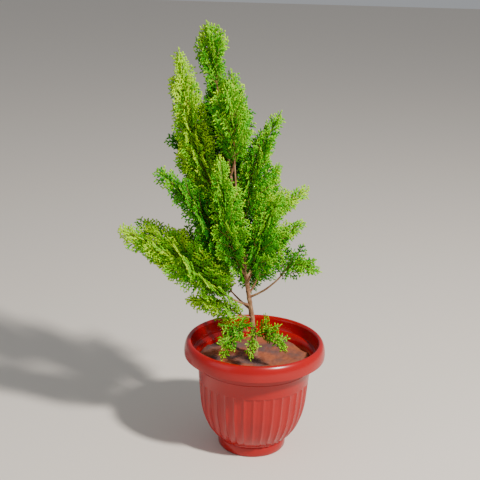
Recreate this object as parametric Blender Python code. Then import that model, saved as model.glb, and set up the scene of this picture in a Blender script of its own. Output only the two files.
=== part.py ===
# Potted golden oriental arborvitae: a young, leaning conifer in a fluted plastic nursery pot.
# Metres, +Z up. The origin is the centre of the pot's flat underside, and -Y faces the viewer.

import math
import random

import bmesh
import bpy
import numpy as np
from mathutils import Vector

# Clearance between pieces that meet, and between a spray and a limb it passes
SEAT_GAP = 0.0003
LIMB_CLEARANCE = 0.0014

# Pot
POT_HEIGHT = 0.170
RIM_RADIUS = 0.105
FOOT_RADIUS = 0.049
FOOT_HEIGHT = 0.017
BELLY_RADIUS = 0.080
BELLY_HEIGHT = 0.080
NECK_RADIUS = 0.0855
SKIRT_HEIGHT = 0.147
FLOOR_THICKNESS = 0.004
WALL_THICKNESS = 0.0022
LEDGE_HEIGHT = 0.151
FLUTE_COUNT = 36
FLUTE_DEPTH = 0.0015
FLUTE_TOP = 0.110
STEP_HEIGHT = 0.132
STEP_DEPTH = 0.0005
DRAIN_COUNT = 4
DRAIN_RADIUS = 0.005
DRAIN_CIRCLE = 0.030
ROUND_COLUMNS = 48
HIDDEN_COLUMNS = 24

# Soil
SOIL_LEVEL = 0.140
SOIL_BUMP = 0.0035
SOIL_COLUMNS = 24
SOIL_FLAT_RADIUS = 0.012

# Trunk: a leaning stem that straightens as it climbs
TRUNK_TOP = 0.545
TRUNK_LEAN = 0.172
TRUNK_KICK = 0.006
TRUNK_KICK_HEIGHT = 0.030
TRUNK_FOOT_Y = 0.012
TRUNK_SETTLE_HEIGHT = 0.080
TRUNK_BASE_RADIUS = 0.0042
TRUNK_TIP_RADIUS = 0.0010
TRUNK_FLARE = 0.0026
TRUNK_FLARE_HEIGHT = 0.009
TRUNK_SIDES = 9
TRUNK_RINGS = 14

# Boughs and the foliage that each carries, in millimetres and degrees. Azimuth 0 is +X, 90 is +Y.
# name: (root height on the trunk, bare length, azimuth, reach and rise of the elbow,
#        then azimuth, lean from vertical and length from the elbow to the tip, spread, dense or open)
LIMBS = {
    "upper_right": (420, 18, 300, 14, 42, 160, 5, 110, 28, "dense"),
    "left_shoulder": (360, 30, 191, 54, 85, 186, 12, 157, 34, "dense"),
    "upper_front": (305, 150, 250, 46, 165, 189, 9, 97, 32, "dense"),
    "upper_back": (380, 22, 119, 48, 80, 135, 6, 125, 33, "dense"),
    "right_shoulder": (330, 26, 337, 16, 85, 356, 21, 107, 31, "open"),
    "left_dark": (340, 22, 155, 46, 60, 171, 43, 95, 31, "dense"),
    "left_mid": (285, 24, 226, 59, 60, 187, 42, 127, 35, "dense"),
    "front_mid": (270, 24, 246, 57, 70, 214, 10, 127, 34, "dense"),
    "right_mid": (265, 26, 45, 33, 70, 21, 52, 89, 33, "open"),
    "right_front": (258, 24, 287, 34, 52, 337, 21, 107, 33, "dense"),
    "right_low": (240, 22, 30, 26, 55, 5, 47, 77, 29, "open"),
    "left_low": (222, 40, 207, 75, 53, 178, 61, 142, 42, "open"),
    "right_spray": (235, 62, 337, 60, 58, 348, 96, 46, 24, "open"),
    "left_skirt": (202, 18, 216, 43, 26, 189, 79, 65, 30, "open"),
    "left_under": (215, 38, 144, 77, 60, 163, 66, 74, 33, "open"),
    "foot_left": (192, 16, 246, 40, 10, 223, 137, 56, 22, "open"),
    "foot_right": (175, 12, 300, 31, 17, 318, 116, 48, 19, "open"),
    "foot_front": (183, 20, 270, 34, 8, 262, 138, 41, 16, "open"),
    "back_mid": (310, 24, 100, 49, 60, 108, 17, 110, 33, "dense"),
    "back_left": (300, 26, 140, 65, 60, 149, 40, 91, 32, "open"),
    "back_right": (290, 26, 68, 55, 60, 45, 31, 82, 32, "open"),
    "back_low": (225, 24, 100, 47, 40, 101, 46, 71, 31, "open"),
}
CROWN_TOP = (180, 10, 92, 30, "dense")

# How a limb bends and tapers
ELBOW_OUT = 0.60
ELBOW_UP = 0.30
TIP_PULL = 0.33
CURVE_STEPS = 12
BOUGH_SIDES = 5
BOUGH_RINGS = 4
BOUGH_SETBACK = 0.0008
LIMB_THICKENING = 0.0050
STEM_START_RADIUS = 0.0011
STEM_TIP_RADIUS = 0.0005
STEM_RINGS = 6

# How a mass grows: sprays leave one stem in turn, all round it, and shorten towards its tip
SPRAY_SPACING = 0.0145
SPRAY_TURN = 137.5
SPRAY_ANGLE_FOOT = 50
SPRAY_ANGLE_TIP = 26
SPRAY_REACH = 1.65
SPRAY_WIDTH = 0.66
SPRAY_SPINE = 0.46
SPRAY_LIFT = 0.12
SPRAY_SINK = 0.004
SPRAY_TRIES = ((1.0, 1.0), (0.85, 1.0), (0.85, 0.7), (0.7, 0.7), (0.58, 1.0), (0.58, 0.6), (0.46, 0.8))
SHORTEST_SPRAY = 0.014
TIP_SPRAY = 0.36
TIP_SPRAY_LONGEST = 0.058
SPACE_MARGIN = 0.035
SEED = 41

# A dense mass has a slender core of close twigs round its stem, which the sprays stand out of
CORE_SHARE = 0.42
CORE_SIDES = 6
CORE_RINGS = 7


def clear_scene():
    for item in list(bpy.data.objects):
        bpy.data.objects.remove(item, do_unlink=True)


def make_material(name, colour, roughness):
    material = bpy.data.materials.new(name)
    material.use_nodes = True
    shader = material.node_tree.nodes["Principled BSDF"]
    shader.inputs["Base Color"].default_value = (*colour, 1.0)
    shader.inputs["Roughness"].default_value = roughness
    shader.inputs["Metallic"].default_value = 0.0
    material.diffuse_color = (*colour, 1.0)
    return material


def red_plastic():
    return make_material("red_plastic", (0.72, 0.020, 0.018), 0.38)


def laterite_soil():
    return make_material("laterite_soil", (0.21, 0.062, 0.026), 0.95)


def reddish_bark():
    return make_material("reddish_bark", (0.20, 0.085, 0.045), 0.85)


def golden_green():
    return make_material("golden_green", (0.22, 0.50, 0.035), 0.62)


def add_object(name, mesh, material, location=(0, 0, 0)):
    mesh.materials.clear()
    mesh.materials.append(material)
    item = bpy.data.objects.new(name, mesh)
    item.location = location
    bpy.context.scene.collection.objects.link(item)
    return item


def mesh_from(name, points, faces):
    mesh = bpy.data.meshes.new(name)
    mesh.from_pydata([tuple(point) for point in points], [], faces)
    mesh.validate()
    return mesh


def smooth(mesh, sharp_degrees):
    mesh.shade_smooth()
    mesh.set_sharp_from_angle(angle=math.radians(sharp_degrees))


# Rings, bridged one to the next

def add_ring(bm, points):
    verts = [bm.verts.new(point) for point in points]
    for here, following in zip(verts, verts[1:] + verts[:1]):
        bm.edges.new((here, following))
    return verts


def ring_edges(bm, verts):
    return [bm.edges.get((here, following)) for here, following in zip(verts, verts[1:] + verts[:1])]


def join_rings(bm, first, second):
    if len(first) == len(second):
        count = len(first)
        for i in range(count):
            j = (i + 1) % count
            bm.faces.new((first[i], first[j], second[j], second[i]))
    else:
        bmesh.ops.bridge_loops(bm, edges=ring_edges(bm, first) + ring_edges(bm, second))


def close_shell(bm, name, rings):
    for first, second in zip(rings, rings[1:]):
        join_rings(bm, first, second)
    bm.faces.new(list(reversed(rings[0])))
    bm.faces.new(rings[-1])
    bmesh.ops.recalc_face_normals(bm, faces=bm.faces)
    mesh = bpy.data.meshes.new(name)
    bm.to_mesh(mesh)
    bm.free()
    return mesh


def circle(radius, height, columns):
    turns = [2 * math.pi * i / columns for i in range(columns)]
    return [(radius * math.cos(a), radius * math.sin(a), height) for a in turns]


def fluted_circle(radius, height, depth):
    # Three points a flute: the ridge, then the two edges of the hollow's floor
    points = []
    pitch = 2 * math.pi / FLUTE_COUNT
    for flute in range(FLUTE_COUNT):
        for share, sink in ((0.0, 0.0), (0.32, depth), (0.68, depth)):
            angle = pitch * (flute + share)
            points.append(((radius - sink) * math.cos(angle), (radius - sink) * math.sin(angle), height))
    return points


# Pot

def bowl_point(share):
    # A cubic curve from the top of the foot ring to the straight part of the wall
    start, end = (FOOT_RADIUS + 0.0005, FOOT_HEIGHT), (BELLY_RADIUS, BELLY_HEIGHT)
    low, high = (FOOT_RADIUS + 0.013, FOOT_HEIGHT + 0.006), (BELLY_RADIUS - 0.004, BELLY_HEIGHT - 0.038)
    rest = 1 - share
    weights = (rest ** 3, 3 * rest ** 2 * share, 3 * rest * share ** 2, share ** 3)
    return tuple(sum(w * p[i] for w, p in zip(weights, (start, low, high, end))) for i in (0, 1))


def wall_radius(height):
    # The straight, slightly flared part of the wall above the belly
    share = (height - BELLY_HEIGHT) / (SKIRT_HEIGHT - BELLY_HEIGHT)
    return BELLY_RADIUS + (NECK_RADIUS - BELLY_RADIUS) * share


def inner_profile():
    # Hidden inner face from the ledge down to the floor, shared with the soil
    rows = [(wall_radius(h) - WALL_THICKNESS, h) for h in (0.146, 0.128)]
    rows += [(wall_radius(h) - WALL_THICKNESS - 0.0008, h) for h in (FLUTE_TOP, 0.084)]
    for share in (0.70, 0.42, 0.10):
        radius, height = bowl_point(share)
        rows.append((radius - WALL_THICKNESS - 0.0012, height + 0.0012))
    rows.append((FOOT_RADIUS - WALL_THICKNESS, FLOOR_THICKNESS))
    return rows


def outer_rings():
    rings = [circle(FOOT_RADIUS, 0.0, ROUND_COLUMNS), circle(FOOT_RADIUS + 0.0020, 0.003, ROUND_COLUMNS)]
    rings.append(circle(FOOT_RADIUS + 0.0023, FOOT_HEIGHT - 0.002, ROUND_COLUMNS))
    rings.append(circle(FOOT_RADIUS + 0.0005, FOOT_HEIGHT - 0.0002, ROUND_COLUMNS))
    for share in (0.04, 0.28, 0.56, 1.0):
        radius, height = bowl_point(share)
        rings.append(fluted_circle(radius, height, FLUTE_DEPTH * (0.5 + 0.5 * share)))
    rings.append(fluted_circle(wall_radius(FLUTE_TOP), FLUTE_TOP - 0.0008, FLUTE_DEPTH))
    rings.append(fluted_circle(wall_radius(FLUTE_TOP), FLUTE_TOP, 0.0))
    rings.append(circle(wall_radius(STEP_HEIGHT) + STEP_DEPTH, STEP_HEIGHT, ROUND_COLUMNS))
    rings.append(circle(wall_radius(STEP_HEIGHT) - STEP_DEPTH / 2, STEP_HEIGHT + STEP_DEPTH, ROUND_COLUMNS))
    rings.append(circle(NECK_RADIUS, SKIRT_HEIGHT + 0.002, ROUND_COLUMNS))
    return rings


def rim_rings():
    # The rim is a rolled flange, hollow underneath, with a crest and a slope down to the inner ledge
    crest = RIM_RADIUS - 0.0075
    rings = [circle(crest - 0.0025, SKIRT_HEIGHT + 0.003, ROUND_COLUMNS)]
    rings.append(circle(crest + 0.0040, SKIRT_HEIGHT + 0.010, ROUND_COLUMNS))
    rings.append(circle(RIM_RADIUS - 0.0020, SKIRT_HEIGHT, ROUND_COLUMNS))
    spring = SKIRT_HEIGHT + 0.0045
    rings.append(circle(RIM_RADIUS, SKIRT_HEIGHT, ROUND_COLUMNS))
    for degrees in (0, 24, 46, 68, 90):
        angle = math.radians(degrees)
        radius = crest + (RIM_RADIUS - crest) * math.cos(angle)
        height = spring + (POT_HEIGHT - spring) * math.sin(angle)
        rings.append(circle(radius, height, ROUND_COLUMNS))
    for degrees in (45, 90):
        angle = math.radians(degrees)
        radius = crest - 0.0038 * math.sin(angle)
        height = POT_HEIGHT - 0.0070 * (1 - math.cos(angle))
        rings.append(circle(radius, height, ROUND_COLUMNS))
    rings.append(circle(RIM_RADIUS - 0.0135, LEDGE_HEIGHT + 0.0006, ROUND_COLUMNS))
    rings.append(circle(RIM_RADIUS - 0.0180, LEDGE_HEIGHT, ROUND_COLUMNS))
    return rings


def pot_mesh():
    bm = bmesh.new()
    rings = [add_ring(bm, ring) for ring in outer_rings() + rim_rings()]
    for index, (radius, height) in enumerate(inner_profile()):
        columns = ROUND_COLUMNS if index == 0 else HIDDEN_COLUMNS
        rings.append(add_ring(bm, circle(radius, height, columns)))
    return close_shell(bm, "pot", rings)


def drain_cutter(index):
    angle = 2 * math.pi * (index + 0.5) / DRAIN_COUNT
    bm = bmesh.new()
    size = {"radius1": DRAIN_RADIUS, "radius2": DRAIN_RADIUS, "depth": 0.03}
    bmesh.ops.create_cone(bm, cap_ends=True, segments=12, **size)
    mesh = bpy.data.meshes.new("drain_cutter")
    bm.to_mesh(mesh)
    bm.free()
    cutter = bpy.data.objects.new(f"drain_cutter_{index + 1}", mesh)
    cutter.location = (DRAIN_CIRCLE * math.cos(angle), DRAIN_CIRCLE * math.sin(angle), 0)
    cutter.hide_render = True
    cutter.display_type = "WIRE"
    bpy.context.scene.collection.objects.link(cutter)
    return cutter


def make_pot():
    mesh = pot_mesh()
    smooth(mesh, 32)
    pot = add_object("pot", mesh, red_plastic())
    for index in range(DRAIN_COUNT):
        cut = pot.modifiers.new(f"drain_{index + 1}", "BOOLEAN")
        cut.operation = "DIFFERENCE"
        cut.solver = "EXACT"
        cut.object = drain_cutter(index)


# Soil

def soil_height(x, y):
    # Gently uneven, but level where the trunk stands
    from_trunk = math.hypot(x, y - TRUNK_FOOT_Y)
    share = min(1.0, max(0.0, (from_trunk - SOIL_FLAT_RADIUS * 1.1) / 0.02))
    bump = math.sin(92 * x + 1.3) * math.cos(71 * y - 0.4) + 0.6 * math.sin(158 * y + 63 * x)
    return SOIL_LEVEL + share * SOIL_BUMP * 0.5 * bump


def soil_ring(radius, centre_y, height=None):
    points = []
    for x, y, _ in circle(radius, 0.0, SOIL_COLUMNS):
        z = soil_height(x, y + centre_y) if height is None else height
        points.append((x, y + centre_y, z))
    return points


def make_soil():
    bm = bmesh.new()
    rings = []
    for radius, height in reversed(inner_profile()):
        if height < SOIL_LEVEL - 0.005:
            lift = SEAT_GAP if height <= FLOOR_THICKNESS else 0.0
            rings.append(add_ring(bm, soil_ring(radius - SEAT_GAP * 1.4, 0.0, height + lift)))
    edge = wall_radius(SOIL_LEVEL) - WALL_THICKNESS - SEAT_GAP * 1.4
    for radius in (edge, 0.069, 0.052, 0.036, 0.023, SOIL_FLAT_RADIUS):
        rings.append(add_ring(bm, soil_ring(radius, TRUNK_FOOT_Y * (1 - radius / edge))))
    mesh = close_shell(bm, "soil", rings)
    smooth(mesh, 40)
    add_object("soil", mesh, laterite_soil())


# Trunk

def trunk_point(height):
    climb = height - SOIL_LEVEL
    x = TRUNK_KICK * (1 - math.exp(-climb / TRUNK_KICK_HEIGHT)) - TRUNK_LEAN * climb
    return Vector((x, TRUNK_FOOT_Y * math.exp(-climb / TRUNK_SETTLE_HEIGHT), height))


def trunk_radius(height):
    climb = height - SOIL_LEVEL
    share = climb / (TRUNK_TOP - SOIL_LEVEL)
    taper = TRUNK_BASE_RADIUS + (TRUNK_TIP_RADIUS - TRUNK_BASE_RADIUS) * share ** 0.9
    return taper + TRUNK_FLARE * math.exp(-climb / TRUNK_FLARE_HEIGHT)


def trunk_heights():
    # Rings crowd together over the root flare
    foot = SOIL_LEVEL + SEAT_GAP
    shares = [i / (TRUNK_RINGS - 1) for i in range(TRUNK_RINGS)]
    return [foot + (TRUNK_TOP - foot) * share ** 1.5 for share in shares]


def make_trunk():
    bm = bmesh.new()
    rings = []
    for height in trunk_heights():
        centre, radius = trunk_point(height), trunk_radius(height)
        ring = [(centre.x + x, centre.y + y, height) for x, y, _ in circle(radius, 0.0, TRUNK_SIDES)]
        rings.append(add_ring(bm, ring))
    mesh = close_shell(bm, "trunk", rings)
    smooth(mesh, 50)
    add_object("trunk", mesh, reddish_bark())


# Paths and tubes

def heading(azimuth, lean):
    # Unit vector at a compass azimuth and a lean from the vertical, both in degrees
    a, b = math.radians(azimuth), math.radians(lean)
    return Vector((math.cos(a) * math.sin(b), math.sin(a) * math.sin(b), math.cos(b)))


def bend(start, middle, end, share):
    rest = 1 - share
    return start * rest ** 2 + middle * 2 * rest * share + end * share ** 2


def side_vectors(direction):
    reference = Vector((0, 0, 1)) if abs(direction.z) < 0.9 else Vector((0, 1, 0))
    across = direction.cross(reference).normalized()
    return across, direction.cross(across).normalized()


def tube_rings(path, radii, sides):
    rings = []
    across, other = side_vectors((path[1] - path[0]).normalized())
    for index, (point, radius) in enumerate(zip(path, radii)):
        ahead = path[min(index + 1, len(path) - 1)] - path[max(index - 1, 0)]
        ahead.normalize()
        across = (across - ahead * across.dot(ahead)).normalized()
        other = ahead.cross(across)
        turns = [2 * math.pi * i / sides for i in range(sides)]
        rings.append([point + (across * math.cos(a) + other * math.sin(a)) * radius for a in turns])
    return rings


def tube_mesh(name, rings):
    bm = bmesh.new()
    return close_shell(bm, name, [add_ring(bm, ring) for ring in rings])


# Limbs: each runs from the trunk past its elbow to its tip, bare at first and then as a mass's stem

class Limb:
    def __init__(self, name, points):
        self.name, self.points = name, points
        self.marks = [0.0]
        for low, high in zip(self.points, self.points[1:]):
            self.marks.append(self.marks[-1] + (high - low).length)
        self.length = self.marks[-1]

    def at(self, distance):
        for index in range(len(self.marks) - 2):
            if distance <= self.marks[index + 1]:
                break
        else:
            index = len(self.marks) - 2
        share = (distance - self.marks[index]) / (self.marks[index + 1] - self.marks[index])
        return self.points[index].lerp(self.points[index + 1], share)

    def ahead(self, distance):
        step = 0.004
        low, high = max(0.0, distance - step), min(self.length, distance + step)
        return (self.at(high) - self.at(low)).normalized()

    def run(self, start, end, count):
        return [self.at(start + (end - start) * i / (count - 1)) for i in range(count)]


def limb_points(name):
    if name == "crown_top":
        azimuth, lean, length = CROWN_TOP[:3]
        elbow = trunk_point(TRUNK_TOP)
        along = (elbow - trunk_point(TRUNK_TOP - 0.01)).normalized()
        points = []
    else:
        height, _, bough_azimuth, reach, rise, azimuth, lean, length = LIMBS[name][:8]
        root = trunk_point(height / 1000)
        out, up = heading(bough_azimuth, 90) * reach / 1000, Vector((0, 0, rise / 1000))
        middle, elbow = root + out * ELBOW_OUT + up * ELBOW_UP, root + out + up
        along = (elbow - middle).normalized()
        points = [bend(root, middle, elbow, i / CURVE_STEPS) for i in range(CURVE_STEPS)]
    tip = elbow + heading(azimuth, lean) * length / 1000
    pull = elbow + along * length * TIP_PULL / 1000
    return points + [bend(elbow, pull, tip, i / CURVE_STEPS) for i in range(CURVE_STEPS + 1)]


def bare_length(name):
    return 0.0 if name == "crown_top" else LIMBS[name][1] / 1000


def spread_of(name):
    return (CROWN_TOP[-2] if name == "crown_top" else LIMBS[name][-2]) / 1000


def is_dense(name):
    return (CROWN_TOP[-1] if name == "crown_top" else LIMBS[name][-1]) == "dense"


def tip_spray_length(limb):
    return min(TIP_SPRAY * (limb.length - bare_length(limb.name)), TIP_SPRAY_LONGEST)


def bough_root_radius(limb):
    return STEM_START_RADIUS + LIMB_THICKENING * limb.length


def on_bark(point, direction, spare):
    # The point moved along a direction until it is a spare distance outside the trunk
    low, high = 0.0, 0.03
    for _ in range(40):
        middle = (low + high) / 2
        place = point + direction * middle
        centre = trunk_point(place.z)
        if math.hypot(place.x - centre.x, place.y - centre.y) < trunk_radius(place.z) + spare:
            low = middle
        else:
            high = middle
    return point + direction * high


def make_bough(limb):
    start, away = limb.points[0], limb.ahead(0.0)
    radius = bough_root_radius(limb)
    across, other = side_vectors(away)
    turns = [2 * math.pi * i / BOUGH_SIDES for i in range(BOUGH_SIDES)]
    corners = [start + (across * math.cos(a) + other * math.sin(a)) * radius for a in turns]
    # Far enough out that the straight sides of its end clear the round bark
    bark = trunk_radius(start.z)
    spare = math.hypot(bark + SEAT_GAP * 1.2, radius) - bark
    root = [on_bark(corner, away, spare) for corner in corners]
    first = max((end - corner).length for end, corner in zip(root, corners)) + BOUGH_SETBACK
    bare = bare_length(limb.name)
    radii = [radius + (STEM_START_RADIUS - radius) * i / (BOUGH_RINGS - 1) for i in range(BOUGH_RINGS)]
    rings = tube_rings(limb.run(first, bare, BOUGH_RINGS), radii, BOUGH_SIDES)
    mesh = tube_mesh("bough_" + limb.name, [root] + rings)
    smooth(mesh, 50)
    add_object("bough_" + limb.name, mesh, reddish_bark())


# The space of each mass

def distance_to(points, path):
    # Least distance from each point to a path of short straight runs
    start, run = path[:-1], path[1:] - path[:-1]
    offset = points[:, None, :] - start[None, :, :]
    share = np.clip((offset * run).sum(axis=2) / (run * run).sum(axis=1), 0.0, 1.0)
    return np.linalg.norm(offset - share[..., None] * run, axis=2).min(axis=1)


class Space:
    # What a spray has to keep to or keep clear of
    def __init__(self, limbs):
        self.stems, self.bare = {}, []
        for limb in limbs:
            bare = bare_length(limb.name)
            self.stems[limb.name] = np.array(limb.run(bare, limb.length, 12))
            if bare:
                self.bare.append((np.array(limb.run(0.0, bare, 6)), bough_root_radius(limb)))
        heights = trunk_heights()
        trunk = [trunk_point(height) for height in heights]
        for low, high, height in zip(trunk, trunk[1:], heights):
            self.bare.append((np.array([low, high]), trunk_radius(height)))

    def holds(self, name, points):
        own = distance_to(points, self.stems[name]) / spread_of(name)
        for other, stem in self.stems.items():
            if other != name and (own + SPACE_MARGIN > distance_to(points, stem) / spread_of(other)).any():
                return False
        return self.clear_of_limbs(points) and self.clear_of_pot(points)

    def room_at(self, name, point):
        # How far a core may reach from its stem here
        place, room = np.array([tuple(point)]), 1.0
        for other, stem in self.stems.items():
            if other != name:
                share = spread_of(name) / (spread_of(name) + spread_of(other))
                room = min(room, 0.8 * share * distance_to(place, stem)[0])
        for path, radius in self.bare:
            room = min(room, distance_to(place, path)[0] - radius - LIMB_CLEARANCE)
        return room

    def clear_of_limbs(self, points):
        return all((distance_to(points, path) > radius + LIMB_CLEARANCE).all() for path, radius in self.bare)

    def clear_of_pot(self, points):
        low = points[points[:, 2] < POT_HEIGHT + 0.006]
        if not len(low):
            return True
        return low[:, 2].min() > SOIL_LEVEL + SOIL_BUMP and np.hypot(low[:, 0], low[:, 1]).max() < 0.080


# Sprays

class Spray:
    # A flat, toothed blade: where it starts, the way it points, the way it faces, and its size
    def __init__(self, foot, along, facing, length, rng):
        self.foot, self.along, self.length = foot, along, length
        self.across = facing.cross(along).normalized()
        self.facing = along.cross(self.across).normalized()
        up = Vector((0, 0, 1)) - along * along.z
        self.lift = up.normalized() if up.length > 0.05 else self.across
        self.jitter = [rng.uniform(0.86, 1.10) for _ in range(12)]

    def place(self, along, across, out):
        share = along / self.length
        point = self.foot + self.along * along + self.across * across + self.facing * out
        return point + self.lift * (SPRAY_LIFT * self.length * share ** 2)

    def half_width(self, share):
        full = self.length * SPRAY_WIDTH / 2
        if share < 0.42:
            return full * (1 - 0.75 * ((0.42 - share) / 0.42) ** 2)
        return full * (1 - ((share - 0.42) / 0.58) ** 2)

    def teeth(self):
        return 3 if self.length < 0.056 else 4

    def outline(self):
        # Stations along the spine, and the tooth that stands out between each pair of stations
        count = self.teeth()
        stations, tips = [], []
        for index in range(count + 1):
            share = 0.84 * index / count
            half = max(SPRAY_SPINE * self.half_width(share), 0.0008) if index else 0.0010
            thick = max(0.0045 * self.length, 0.00034) * (1.25 - 0.45 * share)
            stations.append((share * self.length, half, thick))
        for index in range(count):
            share = 0.84 * (index + 0.5) / count
            for side in (1, -1):
                reach = self.half_width(share) * self.jitter[(2 * index + side) % 12]
                forward = share * self.length + 0.85 * (reach - SPRAY_SPINE * reach)
                tips.append((min(forward, 0.97 * self.length), side * reach))
        return stations, tips

    def solid(self):
        stations, tips = self.outline()
        points, faces = [], []
        for along, half, thick in stations:
            for side, out in ((1, 1), (-1, 1), (-1, -1), (1, -1)):
                points.append(self.place(along, side * half, out * thick))
        base = len(points)
        points += [self.place(along, across, 0.0) for along, across in tips]
        points.append(self.place(self.length, 0.0, 0.0))
        faces.append((0, 3, 2, 1))
        for index in range(len(stations) - 1):
            here, following = 4 * index, 4 * index + 4
            right, left = base + 2 * index, base + 2 * index + 1
            faces.append((here, here + 1, following + 1, following))
            faces.append((here + 3, following + 3, following + 2, here + 2))
            for a, b, c in ((here, following, right), (following, following + 3, right),
                            (following + 3, here + 3, right), (here + 3, here, right)):
                faces.append((a, b, c))
            for a, b, c in ((following + 1, here + 1, left), (following + 2, following + 1, left),
                            (here + 2, following + 2, left), (here + 1, here + 2, left)):
                faces.append((a, b, c))
        last, tip = 4 * (len(stations) - 1), len(points) - 1
        for a, b in ((0, 1), (1, 2), (2, 3), (3, 0)):
            faces.append((last + a, last + b, tip))
        return points, faces

    def samples(self):
        # Points spread over the blade, for the tests of space
        points = []
        steps = max(4, int(self.length / 0.005))
        for step in range(1, steps + 1):
            share = 0.12 + 0.88 * step / steps
            half = self.half_width(share) * 1.05
            for side in (-1.0, -0.5, 0.0, 0.5, 1.0):
                points.append(self.place(share * self.length, side * half, 0.0))
        return np.array([tuple(point) for point in points])


def spray_length(share, spread):
    # Fullest a third of the way up the stem
    fullness = 0.85 + 0.15 * share / 0.33 if share < 0.33 else 1.0 - 0.34 * (share - 0.33) / 0.67
    return spread * SPRAY_REACH * fullness


def grow_sprays(limb, space):
    rng = random.Random(SEED + 17 * list(space.stems).index(limb.name))
    spread = spread_of(limb.name)
    start, end = bare_length(limb.name), limb.length - tip_spray_length(limb)
    count = max(3, round((end - start) / SPRAY_SPACING))
    turn = rng.uniform(0, 360)
    sprays = []
    for index in range(count):
        share = (index + 0.5) / count
        foot = limb.at(start + (end - start) * share)
        ahead = limb.ahead(start + (end - start) * share)
        across, other = side_vectors(ahead)
        turn += SPRAY_TURN + rng.uniform(-14, 14)
        out = across * math.cos(math.radians(turn)) + other * math.sin(math.radians(turn))
        angle = SPRAY_ANGLE_FOOT + (SPRAY_ANGLE_TIP - SPRAY_ANGLE_FOOT) * share + rng.uniform(-6, 6)
        facing = (ahead.cross(out) + out * rng.uniform(-0.5, 0.5)).normalized()
        full = spray_length(share, spread) * rng.uniform(0.9, 1.12)
        seed = rng.random()
        for shrink, fold in SPRAY_TRIES:
            lean = math.radians(angle * fold)
            along = ahead * math.cos(lean) + out * math.sin(lean)
            spray = Spray(foot, along, facing, full * shrink, random.Random(seed))
            if spray.length > SHORTEST_SPRAY and space.holds(limb.name, spray.samples()):
                sprays.append(spray)
                break
    return sprays + [tip_spray(limb, rng)]


def tip_spray(limb, rng):
    # The stem runs out into one last spray, which reaches the mass's tip
    length = tip_spray_length(limb)
    tip = limb.points[-1]
    foot = limb.at(limb.length - length)
    along = (tip - foot).normalized()
    foot = foot - along * SPRAY_SINK
    across, other = side_vectors(along)
    facing = (across + other * rng.uniform(-0.6, 0.6)).normalized()
    spray = Spray(foot, along, facing, (tip - foot).length, rng)
    spray.lift = Vector((0, 0, 0))
    return spray


# Masses

def stem_rings(limb):
    root = TRUNK_TIP_RADIUS if limb.name == "crown_top" else STEM_START_RADIUS
    path = limb.run(bare_length(limb.name) + SEAT_GAP, limb.length - tip_spray_length(limb), STEM_RINGS)
    radii = [root + (STEM_TIP_RADIUS - root) * i / (STEM_RINGS - 1) for i in range(STEM_RINGS)]
    return tube_rings(path, radii, 3)


def core_rings(limb, space):
    start, end = bare_length(limb.name) + 0.004, limb.length - tip_spray_length(limb) * 0.75
    path = limb.run(start, end, CORE_RINGS)
    radii = []
    for index, point in enumerate(path):
        share = (index + 0.25) / (CORE_RINGS - 0.5)
        full = CORE_SHARE * spread_of(limb.name) * math.sin(math.pi * share) ** 0.7
        radii.append(max(min(full, space.room_at(limb.name, point)), STEM_START_RADIUS * 1.6))
    return tube_rings(path, radii, CORE_SIDES)


def keep_one_body(mesh):
    # Drops loose scraps, and the inner shell of any sealed hollow, which fills it
    bm = bmesh.new()
    bm.from_mesh(mesh)
    bmesh.ops.triangulate(bm, faces=bm.faces)
    waiting, bodies = set(bm.faces), []
    while waiting:
        body, reached = [], [waiting.pop()]
        while reached:
            face = reached.pop()
            body.append(face)
            for edge in face.edges:
                for other in edge.link_faces:
                    if other in waiting:
                        waiting.remove(other)
                        reached.append(other)
        bodies.append(body)
    bodies.sort(key=len, reverse=True)
    for body in bodies[1:]:
        bmesh.ops.delete(bm, geom=body, context="FACES")
    bm.to_mesh(mesh)
    bm.free()


def fuse(name, stem, parts):
    group = bpy.data.collections.new(name + "_sprays")
    bpy.context.scene.collection.children.link(group)
    for part in parts:
        bpy.context.scene.collection.objects.unlink(part)
        group.objects.link(part)
    union = stem.modifiers.new("sprays", "BOOLEAN")
    union.operation = "UNION"
    union.solver = "EXACT"
    union.operand_type = "COLLECTION"
    union.collection = group
    bpy.context.view_layer.update()
    evaluated = stem.evaluated_get(bpy.context.evaluated_depsgraph_get())
    fused = bpy.data.meshes.new_from_object(evaluated)
    stem.modifiers.clear()
    stem.data = fused
    for part in parts:
        bpy.data.objects.remove(part, do_unlink=True)
    bpy.data.collections.remove(group)
    keep_one_body(fused)


def make_mass(limb, space):
    name = "foliage_" + limb.name
    material = golden_green()
    foot = limb.at(bare_length(limb.name))
    rings = [[point - foot for point in ring] for ring in stem_rings(limb)]
    stem = add_object(name, tube_mesh(name, rings), material, foot)
    parts = []
    if is_dense(limb.name):
        core = [[point - foot for point in ring] for ring in core_rings(limb, space)]
        parts.append(add_object("core", tube_mesh("core", core), material, foot))
    for index, spray in enumerate(grow_sprays(limb, space)):
        points, faces = spray.solid()
        mesh = mesh_from(f"spray_{index}", [point - foot for point in points], faces)
        parts.append(add_object(f"spray_{index}", mesh, material, foot))
    fuse(name, stem, parts)


def main():
    clear_scene()
    make_pot()
    make_soil()
    make_trunk()
    limbs = [Limb(name, limb_points(name)) for name in ["crown_top"] + list(LIMBS)]
    space = Space(limbs)
    for limb in limbs:
        if bare_length(limb.name):
            make_bough(limb)
    for limb in limbs:
        make_mass(limb, space)


main()
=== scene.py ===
# Young golden oriental arborvitae in a red fluted pot, dressed for the render.
# Metres, +Z up. The pot stands on the origin and -Y faces the camera.

import math
import random

import bpy
import numpy as np
from mathutils import Matrix, Vector, noise


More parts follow.
